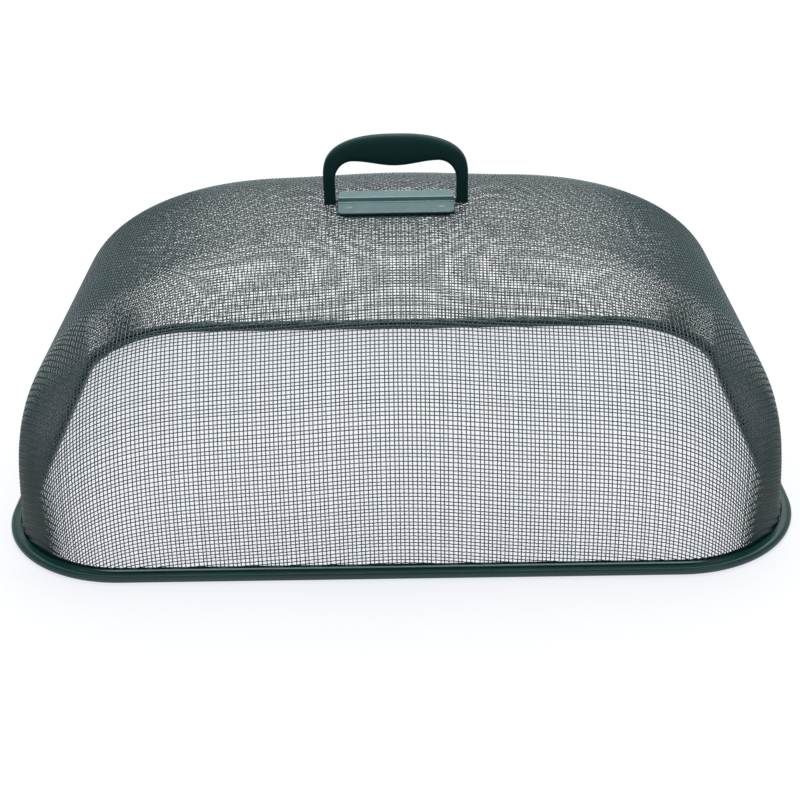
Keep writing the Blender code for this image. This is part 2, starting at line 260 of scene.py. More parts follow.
@dataclass(frozen=True)
class Finish:
    """A coloured surface with soft clouding, a fine relief, a gloss that varies a little, and bands of
    painted light or shade laid on by height.
    """

    name: str
    colour: Colour
    cloud_colour: Colour
    cloud_size: float
    roughness: float
    roughness_change: float
    grain_size: float
    grain_depth: float
    grain_detail: float = 2.0
    cloud_detail: float = 3.0
    gloss_detail: float = 2.0
    gloss_shrink: float = 3.0
    specular: float = 0.5
    painted_light_bands: tuple[PaintedLightBand, ...] = ()

    def material(self) -> bpy.types.Material:
        """Make the finish's material the first time that it is asked for.

        Returns:
            The material.
        """
        if self.name in bpy.data.materials:
            return bpy.data.materials[self.name]
        material = bpy.data.materials.new(self.name)
        material.use_nodes = True
        shader = material.node_tree.nodes["Principled BSDF"]
        nodes = Nodes(material.node_tree)
        place = nodes.add("ShaderNodeTexCoord").outputs["Object"]
        cloud = nodes.noise(place, self.cloud_size, self.cloud_detail)
        share = nodes.spread(cloud, NOISE_MIDDLE, (0.0, 1.0))
        colour = nodes.mix(share, self.colour, self.cloud_colour)
        # Painted light: each band lays a lighter or darker colour over the coating by height, as painted
        # highlight, reflection or shade.
        for band in self.painted_light_bands:
            colour = nodes.fade(place, band, colour)
        nodes.join(colour, shader.inputs["Base Color"])
        gloss = nodes.noise(place, self.cloud_size / self.gloss_shrink, self.gloss_detail)
        reach = (self.roughness - self.roughness_change, self.roughness + self.roughness_change)
        nodes.join(nodes.spread(gloss, NOISE_MIDDLE, reach), shader.inputs["Roughness"])
        grain = nodes.noise(place, self.grain_size, self.grain_detail)
        nodes.join(nodes.relief(grain, self.grain_depth), shader.inputs["Normal"])
        shader.inputs["Specular IOR Level"].default_value = self.specular
        return material


RIM_PAINT = Finish(
    name="rim_enamel",
    colour=(0.0040, 0.0340, 0.0310),
    cloud_colour=(0.0065, 0.0400, 0.0370),
    cloud_size=0.030,
    roughness=0.22,
    roughness_change=0.03,
    grain_size=0.0012,
    grain_depth=0.00002,
    specular=0.12,
    painted_light_bands=(
        # Painted reflection: the bead's outer face is painted lighter and bluer towards the bottom, as
        # though it mirrored the white floor.
        PaintedLightBand(colour=(0.1450, 0.1980, 0.2300), full_height=0.0015, clear_height=0.0042),
        # Painted highlight: a pale line painted along the top of the ridge.
        PaintedLightBand(colour=(0.2000, 0.3050, 0.3150), full_height=0.00575, clear_height=0.0054),
    ),
)
WIRE_COATING = Finish(
    name="wire_coating",
    colour=(0.0100, 0.0385, 0.0425),
    cloud_colour=(0.0142, 0.0453, 0.0492),
    cloud_size=0.012,
    roughness=0.22,
    roughness_change=0.05,
    grain_size=0.0006,
    grain_depth=0.00002,
    specular=0.52,
)
PLATE_PAINT = Finish(
    name="plate_enamel",
    colour=(0.0190, 0.0860, 0.0912),
    cloud_colour=(0.0252, 0.0968, 0.1012),
    cloud_size=0.014,
    roughness=0.20,
    roughness_change=0.03,
    grain_size=0.0010,
    grain_depth=0.00002,
    specular=0.30,
    # Painted shade: the lower edge of the skirt is painted near-black, as though in the shade under the
    # plate.
    painted_light_bands=(PaintedLightBand(colour=(0.0040, 0.0140, 0.0140), full_height=0.1612, clear_height=0.1616),),
)
ROD_PAINT = Finish(
    name="rod_enamel",
    colour=(0.0040, 0.0300, 0.0300),
    cloud_colour=(0.0065, 0.0380, 0.0375),
    cloud_size=0.008,
    roughness=0.32,
    roughness_change=0.05,
    grain_size=0.0008,
    grain_depth=0.00002,
)
HANDLE_PLASTIC = Finish(
    name="moulded_plastic",
    colour=(0.0060, 0.0305, 0.0290),
    cloud_colour=(0.0070, 0.0335, 0.0318),
    cloud_size=0.020,
    roughness=0.50,
    roughness_change=0.04,
    grain_size=0.0005,
    grain_depth=0.00003,
    grain_detail=4.0,
    specular=0.07,
)


@dataclass(frozen=True)
class Place:
    """What a piece stands for in the frame, and what it moves with."""

    body: Body
    nodes: tuple[str, ...]
    slot: Slot

    def dress(self, piece: bpy.types.Object, finish: Finish) -> bpy.types.Object:
        """Give a piece its finish and its place in the frame.

        Args:
            piece: Object that is built in place.
            finish: Finish of its surface.

        Returns:
            The same piece.
        """
        piece.data.materials.clear()
        piece.data.materials.append(finish.material())
        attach(piece, self.body.value)
        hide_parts(*self.nodes)
        log.info("%s: %d faces, finish %s", piece.name, len(piece.data.polygons), finish.name)
        return piece


class Shaper:
    """Turns points into named meshes."""

    @staticmethod
    def show(name: str, mesh: bpy.types.Mesh, sharp_angle: float) -> bpy.types.Object:
        """Shade a mesh smooth and put it into the scene.

        Args:
            name: Name of the object.
            mesh: Finished mesh.
            sharp_angle: Angle above which an edge is shaded sharp.

        Returns:
            The new object.
        """
        mesh.validate()
        mesh.shade_smooth()
        mesh.set_sharp_from_angle(angle=sharp_angle)
        return put(name, mesh)

    @classmethod
    def piece(
        cls, name: str, points: Sequence[Point], faces: Sequence[tuple[int, ...]], sharp_angle: float
    ) -> bpy.types.Object:
        """Make an object from points and faces.

        Args:
            name: Name of the object.
            points: Places of the corners.
            faces: Numbers of the corners of each face.
            sharp_angle: Angle above which an edge is shaded sharp.

        Returns:
            The new object.
        """
        mesh = bpy.data.meshes.new(name)
        mesh.from_pydata([tuple(point) for point in points], [], faces)
        return cls.show(name, mesh, sharp_angle)

    @staticmethod
    def loft(rings: Sequence[Ring]) -> Skin:
        """Join rings of points into one closed skin.

        Args:
            rings: Closed loops with the same number of points. The skin faces outward where they run
                anticlockwise and follow each other upward.

        Returns:
            The points and the faces.
        """
        count = len(rings[0])
        points = [point for ring in rings for point in ring]
        faces = [tuple(reversed(range(count)))]
        for level in range(len(rings) - 1):
            for index in range(count):
                after = (index + 1) % count
                low, high = level * count, (level + 1) * count
                faces.append((low + index, low + after, high + after, high + index))
        last = (len(rings) - 1) * count
        faces.append(tuple(range(last, last + count)))
        return points, faces

    @staticmethod
    def arc(
        centre: Sequence[float], radius: float, start: float, turn: float, steps: int
    ) -> list[Vector]:
        """Points of an arc in a plane, with both ends.

        Args:
            centre: Middle of the arc.
            radius: Its radius.
            start: Angle of the first point.
            turn: Angle from the first point to the last.
            steps: Number of steps.

        Returns:
            The points as vectors of two numbers.
        """
        points = []
        for index in range(steps + 1):
            angle = start + turn * index / steps
            points.append(Vector(centre) + Vector((math.cos(angle), math.sin(angle))) * radius)
        return points

    @classmethod
    def circle(cls, centre: Sequence[float], radius: float, sides: int) -> list[Vector]:
        """Points of a circle in a plane, anticlockwise."""
        return cls.arc(centre, radius, 0.0, FULL_TURN, sides)[:-1]

    @staticmethod
    def corners(length: float, width: float, radius: float) -> list[tuple[Vector, float]]:
        """Corner arcs of a rounded rectangle, anticlockwise from the front right one.

        Args:
            length: Size along X.
            width: Size along Y.
            radius: Radius of the corners.

        Returns:
            For each its middle and the angle at which it starts.
        """
        reach_x, reach_y = length / 2 - radius, width / 2 - radius
        arcs = []
        for index, (x, y) in enumerate(((1, -1), (1, 1), (-1, 1), (-1, -1))):
            arcs.append((Vector((x * reach_x, y * reach_y)), QUARTER_TURN * (index - 1)))
        return arcs

    @classmethod
    def rounded_plan(cls, length: float, width: float, radius: float, steps: int) -> list[Vector]:
        """Rounded rectangle in plan, anticlockwise.

        Args:
            length: Size along X.
            width: Size along Y.
            radius: Radius of the corners.
            steps: Steps in each corner.

        Returns:
            The points as vectors of two numbers.
        """
        plan = []
        for centre, start in cls.corners(length, width, radius):
            plan += cls.arc(centre, radius, start, QUARTER_TURN, steps)
        return plan

    @classmethod
    def slab(
        cls, length: float, width: float, radius: float, levels: Sequence[tuple[float, float]], steps: int
    ) -> Skin:
        """Body with a rounded rectangular plan.

        Args:
            length: Size along X.
            width: Size along Y.
            radius: Radius of the corners in plan.
            levels: Pairs of inset and height, from the bottom up.
            steps: Steps in each corner.

        Returns:
            The points and the faces.
        """
        rings = []
        for inset, height in levels:
            plan = cls.rounded_plan(length - 2 * inset, width - 2 * inset, radius - inset, steps)
            rings.append([(point.x, point.y, height) for point in plan])
        return cls.loft(rings)

    @classmethod
    def bar(cls, profile: Sequence[Vector], half: float, height: float) -> Skin:
        """Straight bar along X.

        Args:
            profile: Section as vectors of across and up, anticlockwise as seen from +X.
            half: Half of the bar's length.
            height: Height of the section's origin.

        Returns:
            The points and the faces.
        """
        rings = [[(x, point.x, height + point.y) for point in profile] for x in (-half, half)]
        return cls.loft(rings)

    @classmethod
    def turned(cls, x: float, y: float, profile: Sequence[tuple[float, float]], sides: int) -> Skin:
        """Upright turned body.

        Args:
            x: Place of its axis.
            y: Place of its axis.
            profile: Pairs of radius and height, from the bottom up.
            sides: Number of sides.

        Returns:
            The points and the faces.
        """
        rings = []
        for radius, height in profile:
            rings.append([(point.x, point.y, height) for point in cls.circle((x, y), radius, sides)])
        return cls.loft(rings)

    @staticmethod
    def cut(target: bpy.types.Object, cutter: bpy.types.Object, way: Cut) -> None:
        """Join a body to an object or take it away, and remove the body.

        Args:
            target: Object that changes.
            cutter: Body that is joined or taken away.
            way: Whether it is joined or taken away.
        """
        change = target.modifiers.new(cutter.name, "BOOLEAN")
        change.operation = way.value
        change.object = cutter
        change.solver = "EXACT"
        bpy.context.view_layer.update()
        shape = target.evaluated_get(bpy.context.evaluated_depsgraph_get())
        finished = bpy.data.meshes.new_from_object(shape)
        target.modifiers.clear()
        old = target.data
        target.data = finished
        bpy.data.meshes.remove(old)
        finished.name = target.name
        bpy.data.objects.remove(cutter)

    @staticmethod
    def settle(piece: bpy.types.Object, sharp_angle: float) -> None:
        """Shade a cut object smooth, with flat faces left flat.

        Args:
            piece: Object to shade.
            sharp_angle: Angle above which an edge is shaded sharp.
        """
        piece.data.shade_smooth()
        piece.data.set_sharp_from_angle(angle=sharp_angle)
        weigh = piece.modifiers.new("even_shading", "WEIGHTED_NORMAL")
        weigh.keep_sharp = True


@dataclass
class DomeForm:
    """Pressed outer face of the cloth: rounded rectangles that shrink from the foot to a flat crown.

    The roof swells near the middle, at the front and the back, and the foot flares a little at the sides.
    """

    foot_x: float = 0.2256
    foot_y: float = 0.1626
    corner_share: float = 0.4219
    spring_height: float = 0.0069
    rise: float = 0.1538
    crown_height: float = 0.1599
    side_rise_power: float = 3.15
    side_spread_power: float = 2.4
    front_rise_power: float = 2.25
    front_spread_power: float = 2.7
    swell_power: float = 0.85
    swell_reach: float = 0.055
    flare: float = 0.0018
    flare_share: float = 0.08
    top_share: float = 0.9995
    probe: float = 1e-6

    def outline_gap(self, x: np.ndarray, y: np.ndarray, z: np.ndarray) -> np.ndarray:
        """Distance in plan from the dome's outline at a height.

        Args:
            x: Places across.
            y: Places in depth.
            z: Heights.

        Returns:
            The distances, negative inside the outline.
        """
        share = np.clip((z - self.spring_height) / self.rise, 0.0, self.top_share)
        reach_x = self.foot_x * (1 - share**self.side_rise_power) ** (1 / self.side_spread_power)
        reach_x += self.flare * np.exp(-share / self.flare_share)
        front_power = self.front_rise_power + self.swell_power * np.exp(-((x / self.swell_reach) ** 2))
        reach_y = self.foot_y * (1 - share**front_power) ** (1 / self.front_spread_power)
        radius = self.corner_share * np.minimum(reach_x, reach_y)
        beyond_x = np.abs(x) - (reach_x - radius)
        beyond_y = np.abs(y) - (reach_y - radius)
        corner = np.hypot(np.maximum(beyond_x, 0), np.maximum(beyond_y, 0))
        return corner + np.minimum(np.maximum(beyond_x, beyond_y), 0) - radius

    def gap(self, places: np.ndarray) -> tuple[np.ndarray, np.ndarray]:
        """Distance of places from the dome's face.

        Args:
            places: Array of n places.

        Returns:
            The distances, and the face's outward directions.
        """
        x, y, z = places.T
        step = self.probe
        slope = np.stack(
            [
                self.outline_gap(x + step, y, z) - self.outline_gap(x - step, y, z),
                self.outline_gap(x, y + step, z) - self.outline_gap(x, y - step, z),
                self.outline_gap(x, y, z + step) - self.outline_gap(x, y, z - step),
            ],
            axis=1,
        ) / (2 * step)
        steepness = np.linalg.norm(slope, axis=1)
        value = self.outline_gap(x, y, z) / steepness
        outward = slope / steepness[:, None]
        above_crown = z - self.crown_height
        on_crown = above_crown > value
        outward[on_crown] = (0.0, 0.0, 1.0)
        return np.where(on_crown, above_crown, value), outward


@dataclass
class WireNet:
    """Crossings of a woven cloth that is laid over a dome: wires turn at them and keep their pitch."""

    form: DomeForm
    pitch_x: float = 0.00241
    pitch_y: float = 0.00228
    lowest: float = 0.0005
    rounds: int = 12
    longest_step: float = 0.0012
    shortest_step: float = 1e-12
    steadiness: float = 1e-9
    fit: float = 1e-6
    stray_share: float = 0.07
    drift_share: float = 0.38
    drift_wires: int = 22
    seed: int = 7
    crossings: np.ndarray = field(init=False)
    outward: np.ndarray = field(init=False)

    def __post_init__(self) -> None:
        """Lay the net over one quarter of the dome and mirror it to the other three."""
        quarter = self.lay_quarter()
        self.crossings = self.loosen(self.mirror(quarter))
        flat = self.crossings.reshape(-1, 3)
        self.outward = np.full_like(flat, np.nan)
        known = np.isfinite(flat[:, 0])
        self.outward[known] = self.form.gap(flat[known])[1]
        self.outward = self.outward.reshape(self.crossings.shape)

    def settle(
        self, guess: np.ndarray, anchors: Sequence[tuple[np.ndarray, float]], plane: np.ndarray | None
    ) -> tuple[np.ndarray, np.ndarray]:
        """Move places until they lie on the dome at set distances from others.

        Args:
            guess: First guess of the places.
            anchors: Other places, each with the distance from it.
            plane: Normal of an upright plane through the middle that holds the places, or None.

        Returns:
            The places and their largest errors.
        """
        places = guess.copy()
        for _ in range(self.rounds):
            value, outward = self.form.gap(places)
            rows, misses = [outward], [value]
            for anchor, distance in anchors:
                offset = places - anchor
                reach = np.linalg.norm(offset, axis=1)
                rows.append(offset / reach[:, None])
                misses.append(reach - distance)
            if plane is not None:
                rows.append(np.tile(plane, (len(places), 1)))
                misses.append(places @ plane)
            matrix = np.stack(rows, axis=1) + self.steadiness * np.eye(3)
            miss = np.stack(misses, axis=1)
            move = np.linalg.solve(matrix, -miss[:, :, None])[:, :, 0]
            length = np.maximum(np.linalg.norm(move, axis=1, keepdims=True), self.shortest_step)
            places = places + move * np.minimum(1.0, self.longest_step / length)
        return places, np.abs(miss).max(axis=1)

    def lay_axis(self, step: float, way: np.ndarray, plane: np.ndarray) -> np.ndarray:
        """Lay the wire that runs from the crown straight down one side.

        Args:
            step: Distance between crossings.
            way: Direction in which it leaves the crown.
            plane: Normal of the plane that it stays in.

        Returns:
            Its crossings, from the crown to below the foot.
        """
        crown = np.array([[0.0, 0.0, self.form.crown_height]])
        line = [crown - step * way, crown]
        while line[-1][0, 2] > self.lowest:
            line.append(self.settle(2 * line[-1] - line[-2], [(line[-1], step)], plane)[0])
        return np.concatenate(line[1:])

    def lay_quarter(self) -> np.ndarray:
        """Lay the crossings of one quarter, diagonal by diagonal.

        Returns:
            Array of crossings by wire and wire, with no number where the cloth has ended.
        """
        across, deep = np.array([1.0, 0.0, 0.0]), np.array([0.0, 1.0, 0.0])
        side_line = self.lay_axis(self.pitch_x, across, deep)
        front_line = self.lay_axis(self.pitch_y, deep, across)
        count_x, count_y = len(side_line), len(front_line)
        net = np.full((count_x, count_y, 3), np.nan)
        net[:, 0] = side_line
        net[0, :] = front_line
        for diagonal in range(2, count_x + count_y - 1):
            i = np.arange(max(1, diagonal - count_y + 1), min(count_x - 1, diagonal - 1) + 1)
            j = diagonal - i
            known = np.isfinite(net[i - 1, j, 0] + net[i, j - 1, 0] + net[i - 1, j - 1, 0])
            i, j = i[known], j[known]
            if not len(i):
                continue
            beside, behind, before = net[i - 1, j], net[i, j - 1], net[i - 1, j - 1]
            anchors = [(beside, self.pitch_x), (behind, self.pitch_y)]
            places, miss = self.settle(beside + behind - before, anchors, None)
            kept = (np.maximum(beside[:, 2], behind[:, 2]) > self.lowest) & (miss < self.fit)
            net[i[kept], j[kept]] = places[kept]
        return net

    @staticmethod
    def mirror(quarter: np.ndarray) -> np.ndarray:
        """Mirror one quarter of the net to the whole.

        Args:
            quarter: Crossings for x and y from the middle outward.

        Returns:
            Crossings of the whole net.
        """
        half = np.concatenate([quarter[:0:-1] * (-1, 1, 1), quarter])
        return np.concatenate([half[:, :0:-1] * (1, -1, 1), half], axis=1)

    def loosen(self, crossings: np.ndarray) -> np.ndarray:
        """Shift each wire a little along the cloth, as the wires of a real weave stray and drift.

        Args:
            crossings: Crossings of the even net.

        Returns:
            Crossings of the uneven net.
        """
        chance = np.random.default_rng(self.seed)
        shifted = crossings.copy()
        for axis in range(2):
            count = crossings.shape[axis]
            knots = np.arange(0, count + self.drift_wires, self.drift_wires)
            drift = np.interp(np.arange(count), knots, chance.normal(0.0, self.drift_share, len(knots)))
            shift = drift + chance.normal(0.0, self.stray_share, count)
            spacing = np.nan_to_num(np.gradient(crossings, axis=axis))
            shifted += spacing * np.expand_dims(shift, (1 - axis, 2))
        return shifted


@dataclass
class WireCloth:
    """Plain woven, coated wire cloth, its edge trimmed in the rim's slot."""

    net: WireNet
    finish: Finish = WIRE_COATING
    place: Place = Place(Body.COVER, ("mesh_dome",), Slot.CLOTH)
    thickness: float = 0.0010
    wire: float = 0.00060
    foot_height: float = 0.0010
    sides: int = 5
    first_side: float = 0.25
    parts: int = 4
    row_share: float = 0.8
    cap_share: float = 1 / 16
    sharp_angle: float = math.radians(80)

    def build(self) -> list[bpy.types.Object]:
        """Weave the cloth.

        Returns:
            Its pieces, a few for each direction of the wires.
        """
        pieces = []
        for lay in Lay:
            wires = self.wires(lay)
            share = math.ceil(len(wires) / self.parts)
            for part in range(self.parts):
                name = f"wire_cloth_{lay.value}_{part + 1}"
                piece = self.weave(name, wires[part * share : (part + 1) * share])
                pieces.append(self.place.dress(piece, self.finish))
        return pieces

    def wires(self, lay: Lay) -> list[tuple[np.ndarray, np.ndarray]]:
        """Middle lines of all wires that run one way.

        Args:
            lay: Direction of the wires.

        Returns:
            For each wire its places and the dome's outward directions there.
        """
        count_x, count_y = self.net.crossings.shape[:2]
        over = 1 - 2 * (np.add.outer(np.arange(count_x), np.arange(count_y)) % 2)
        if lay is Lay.CROSSWISE:
            over = -over
        height = over * self.thickness / 4 - self.thickness / 2
        lines = self.net.crossings + self.net.outward * height[:, :, None]
        outward = self.net.outward
        if lay is Lay.LENGTHWISE:
            lines, outward = lines.transpose(1, 0, 2), outward.transpose(1, 0, 2)
        wires = []
        for line, way in zip(lines, outward, strict=True):
            known = np.isfinite(line[:, 0])
            trimmed = self.trim(line[known], way[known])
            if trimmed is not None:
                wires.append(trimmed)
        return wires

    def trim(self, line: np.ndarray, outward: np.ndarray) -> tuple[np.ndarray, np.ndarray] | None:
        """Cut a wire at the height where the cloth ends in the slot.

        Args:
            line: Places of the wire.
            outward: The dome's outward directions there.

        Returns:
            The shortened wire, or None where less than two places are left.
        """
        inside = np.flatnonzero(line[:, 2] > self.foot_height)
        if len(inside) < 2:
            return None
        first, last = inside[0], inside[-1]
        kept, ways = [line[first : last + 1]], [outward[first : last + 1]]
        for end, beyond in ((first, first - 1), (last, last + 1)):
            if not 0 <= beyond < len(line):
                continue
            share = (line[end, 2] - self.foot_height) / (line[end, 2] - line[beyond, 2])
            tip = line[end] + (line[beyond] - line[end]) * share
            at = 0 if beyond < end else len(kept)
            kept.insert(at, tip[None])
            ways.insert(at, outward[end][None])
        return np.concatenate(kept), np.concatenate(ways)

    def weave(self, name: str, wires: Sequence[tuple[np.ndarray, np.ndarray]]) -> bpy.types.Object:
        """Make one piece of the cloth.

        Args:
            name: Name of the piece.
            wires: Middle lines and outward directions.

        Returns:
            The new object.
        """
        points, quads, caps, map_quads, map_caps = [], [], [], [], []
        longest = max(len(line) for line, _ in wires)
        start = 0
        for row, (line, outward) in enumerate(wires):
            points.append(self.tube(line, outward))
            rings = np.arange(len(line) - 1)[:, None]
            side = np.arange(self.sides)[None, :]
            after = (side + 1) % self.sides
            low, high = start + rings * self.sides, start + (rings + 1) * self.sides
            quads.append(np.stack([low + side, low + after, high + after, high + side], axis=-1))
            caps.append(start + np.arange(self.sides)[::-1])
            caps.append(start + (len(line) - 1) * self.sides + np.arange(self.sides))
            u = np.stack([rings, rings, rings + 1, rings + 1], axis=-1) / longest
            v = np.stack([side, side + 1, side + 1, side], axis=-1) / self.sides
            u, v = np.broadcast_arrays(u, (row + v * self.row_share) / len(wires))
            map_quads.append(np.stack([u, v], axis=-1).reshape(-1, 2))
            map_caps += self.cap_map(len(line), longest, row, len(wires))
            start += len(line) * self.sides
        return self.fill(name, points, quads, caps, map_quads, map_caps)

    def cap_map(self, count: int, longest: int, row: int, rows: int) -> list[np.ndarray]:
        """Places of a wire's two end faces on the flat map.

        Args:
            count: Number of rings of the wire.
            longest: Number of rings of the longest wire.
            row: Number of the wire.
            rows: Number of wires.

        Returns:
            Two arrays of map places.
        """
        angle = FULL_TURN * np.arange(self.sides) / self.sides
        circle = np.stack([np.cos(angle) / longest, np.sin(angle) / rows], axis=1) * self.cap_share
        foot = (row + (1 + self.row_share) / 2) / rows
        return [circle + (share / longest, foot) for share in (0.5, count - 1.5)]

    def tube(self, line: np.ndarray, outward: np.ndarray) -> np.ndarray:
        """Rings of points round a wire.

        Args:
            line: Places of its middle line.
            outward: The dome's outward directions there.

        Returns:
            The points, ring by ring.
        """
        along = np.gradient(line, axis=0)
        along /= np.linalg.norm(along, axis=1, keepdims=True)
        aside = np.cross(along, outward)
        aside /= np.linalg.norm(aside, axis=1, keepdims=True)
        up = np.cross(aside, along)
        angle = FULL_TURN * (np.arange(self.sides) + self.first_side) / self.sides
        cosine, sine = np.cos(angle)[None, :, None], np.sin(angle)[None, :, None]
        rings = line[:, None] + self.wire / 2 * (aside[:, None] * cosine + up[:, None] * sine)
        return rings.reshape(-1, 3)

    def fill(
        self,
        name: str,
        points: Sequence[np.ndarray],
        quads: Sequence[np.ndarray],
        caps: Sequence[np.ndarray],
        map_quads: Sequence[np.ndarray],
        map_caps: Sequence[np.ndarray],
    ) -> bpy.types.Object:
        """Fill a mesh from arrays.

        Args:
            name: Name of the piece.
            points: Points of each wire.
            quads: Corner numbers of each wire's side faces.
            caps: Corner numbers of each end face.
            map_quads: Map places of the side faces' corners.
            map_caps: Map places of the end faces' corners.

        Returns:
            The new object.
        """
        place = np.concatenate(points).astype(np.float32)
        side = np.concatenate([quad.reshape(-1, 4) for quad in quads])
        end = np.stack(caps)
        corners = np.concatenate([side.ravel(), end.ravel()]).astype(np.int32)
        sizes = np.concatenate([np.full(len(side), 4), np.full(len(end), end.shape[1])])
        starts = np.concatenate([[0], np.cumsum(sizes)[:-1]]).astype(np.int32)
        mesh = bpy.data.meshes.new(name)
        mesh.vertices.add(len(place))
        mesh.vertices.foreach_set("co", place.ravel())
        mesh.loops.add(len(corners))
        mesh.loops.foreach_set("vertex_index", corners)
        mesh.polygons.add(len(sizes))
        mesh.polygons.foreach_set("loop_start", starts)
        mesh.update(calc_edges=True)
        flat_map = mesh.uv_layers.new(name="OFBake")
        flat = np.concatenate([*map_quads, *map_caps]).astype(np.float32)
        flat_map.data.foreach_set("uv", flat.ravel())
        return Shaper.show(name, mesh, self.sharp_angle)


@dataclass
class RolledRim:
    """Steel strip, folded and rolled to a hollow bead with a slot for the cloth, butted at a seam."""

    finish: Finish = RIM_PAINT
    place: Place = Place(Body.COVER, ("rim_strip",), Slot.RIM)
    width: float = 0.468
    depth: float = 0.342
    corner_radius: float = 0.077
    strip: float = 0.0006
    bead_width: float = 0.0030
    bead_height: float = 0.0050
    bead_end: float = math.radians(80)
    groove_start: float = 0.00315
    groove_end: float = 0.0049
    groove_height: float = 0.00375
    ridge_inset: float = 0.0053
    ridge_width: float = 0.0007
    ridge_height: float = 0.00550
    ridge_tilt: float = 0.00010
    ridge_slope_width: float = 0.0004
    lip_inset: float = 0.0078
    lip_height: float = 0.00475
    lip_foot_height: float = 0.0013
    leg_inset: float = 0.0100
    leg_height: float = 0.0046
    leg_bend: float = 0.0008
    seam_offset: float = 0.050
    seam_gap: float = 0.00012
    fade_angle: float = math.radians(26)
    corner_lip_inset: float = 0.0075
    side_lip_inset: float = 0.0057
    bend_reach: float = 0.00035
    bend_share: float = 0.4
    bend_angle: float = math.radians(12)
    round_steps: int = 4
    bend_steps: int = 8
    bead_steps: int = 24
    corner_steps: int = 40
    side_steps: int = 12
    sharp_angle: float = math.radians(40)

    def build(self) -> bpy.types.Object:
        """Roll the rim.

        Returns:
            The dressed piece.
        """
        sections = self.sections()
        rings = []
        for place, outward, flatness in self.stations():
            section = []
            for ridged, plain, narrow in zip(*sections, strict=True):
                section.append(ridged.lerp(plain.lerp(narrow, abs(outward.x)), flatness))
            plan = [(place - outward * inset, height) for inset, height in section]
            rings.append([(point.x, point.y, height) for point, height in plan])
        points, faces = Shaper.loft(rings)
        rim = Shaper.piece("rolled_rim", points, faces, self.sharp_angle)
        return self.place.dress(rim, self.finish)

    def stations(self) -> list[tuple[Vector, Vector, float]]:
        """Places round the outer outline, from one side of the seam to the other.

        Returns:
            For each the place, its outward direction in plan and how flat the strip's ridge is there.
        """
        front = Vector((0.0, -1.0))
        line = [(Vector((self.seam_offset + self.seam_gap / 2, -self.depth / 2)), front, 0.0)]
        for centre, start in Shaper.corners(self.width, self.depth, self.corner_radius):
            rays = Shaper.arc((0, 0), 1.0, start, QUARTER_TURN, self.corner_steps)
            corner = [(centre + ray * self.corner_radius, ray, self.flatness(ray)) for ray in rays]
            line += self.between(line[-1], corner[0]) + corner
        last = (Vector((self.seam_offset - self.seam_gap / 2, -self.depth / 2)), front, 0.0)
        return line + self.between(line[-1], last) + [last]

    def flatness(self, outward: Vector) -> float:
        """Tell how flat the ridge is where the rim faces one way.

        Args:
            outward: The rim's outward direction in plan.

        Returns:
            0 at the long sides and 1 at the short ones, with a smooth change in the corners.
        """
        turn = math.atan2(abs(outward.x), abs(outward.y))
        share = min(turn / self.fade_angle, 1.0)
        return share**2 * (3 - 2 * share)

    def between(
        self, start: tuple[Vector, Vector, float], end: tuple[Vector, Vector, float]
    ) -> list[tuple[Vector, Vector, float]]:
        """Places along a straight side, without its ends.

        Args:
            start: Place, outward direction and flatness where it starts.
            end: Place, outward direction and flatness where it ends.

        Returns:
            Places with their outward direction and flatness.
        """
        shares = [index / self.side_steps for index in range(1, self.side_steps)]
        return [(start[0].lerp(end[0], share), start[1], start[2]) for share in shares]

    def middle_line(self, groove: float, ridge: tuple[float, float], lip_inset: float) -> list[Vector]:
        """Middle line of the folded strip in section.

        Args:
            groove: Height of the groove behind the bead.
            ridge: Heights of the outer and the inner edge of the ridge behind the groove.
            lip_inset: Inset of the lip beside the cloth.

        Returns:
            Vectors of the inset from the outer face and the height.
        """
        half = self.strip / 2
        leg_centre = (self.leg_inset - self.leg_bend, half + self.leg_bend)
        line = [Vector((self.leg_inset, self.leg_height))]
        line += Shaper.arc(leg_centre, self.leg_bend, 0.0, -QUARTER_TURN, self.bend_steps)
        bead_reach, bead_middle = self.bead_width - half, self.bead_height / 2
        for index in range(self.bead_steps + 1):
            angle = (self.bead_end + QUARTER_TURN) * index / self.bead_steps - QUARTER_TURN
            height = bead_middle + (bead_middle - half) * math.sin(angle)
            line.append(Vector((self.bead_width - bead_reach * math.cos(angle), height)))
        ridge_end = self.ridge_inset + self.ridge_width
        shelf = [
            (self.groove_start, groove),
            (self.groove_end, groove),
            (self.ridge_inset, ridge[0]),
            (ridge_end, ridge[1]),
            (ridge_end + self.ridge_slope_width, self.lip_height),
            (self.lip_inset, self.lip_height),
            (self.lip_inset, self.lip_foot_height),
        ]
        start = self.groove_start
        squeeze = (lip_inset - start) / (self.lip_inset - start)
        return line + [Vector((start + (inset - start) * squeeze, height)) for inset, height in shelf]

    def sections(self) -> tuple[list[Vector], list[Vector], list[Vector]]:
        """Closed outlines of the strip, with its bends rounded.

        Returns:
            The ridged section of the long sides, the plain one where a corner starts and the narrower
            one of the short sides, as vectors of inset and height.
        """
        level, crest = self.lip_height, self.ridge_height
        ridge = (crest - self.ridge_tilt, crest)
        ridged = self.thicken(self.middle_line(self.groove_height, ridge, self.lip_inset))
        plain = self.thicken(self.middle_line(level, (level, level), self.corner_lip_inset))
        narrow = self.thicken(self.middle_line(level, (level, level), self.side_lip_inset))
        sharp = []
        for index, point in enumerate(ridged):
            ahead = ridged[(index + 1) % len(ridged)] - point
            sharp.append((point - ridged[index - 1]).angle(ahead) > self.bend_angle)
        return tuple(self.round_bends(section, sharp) for section in (ridged, plain, narrow))

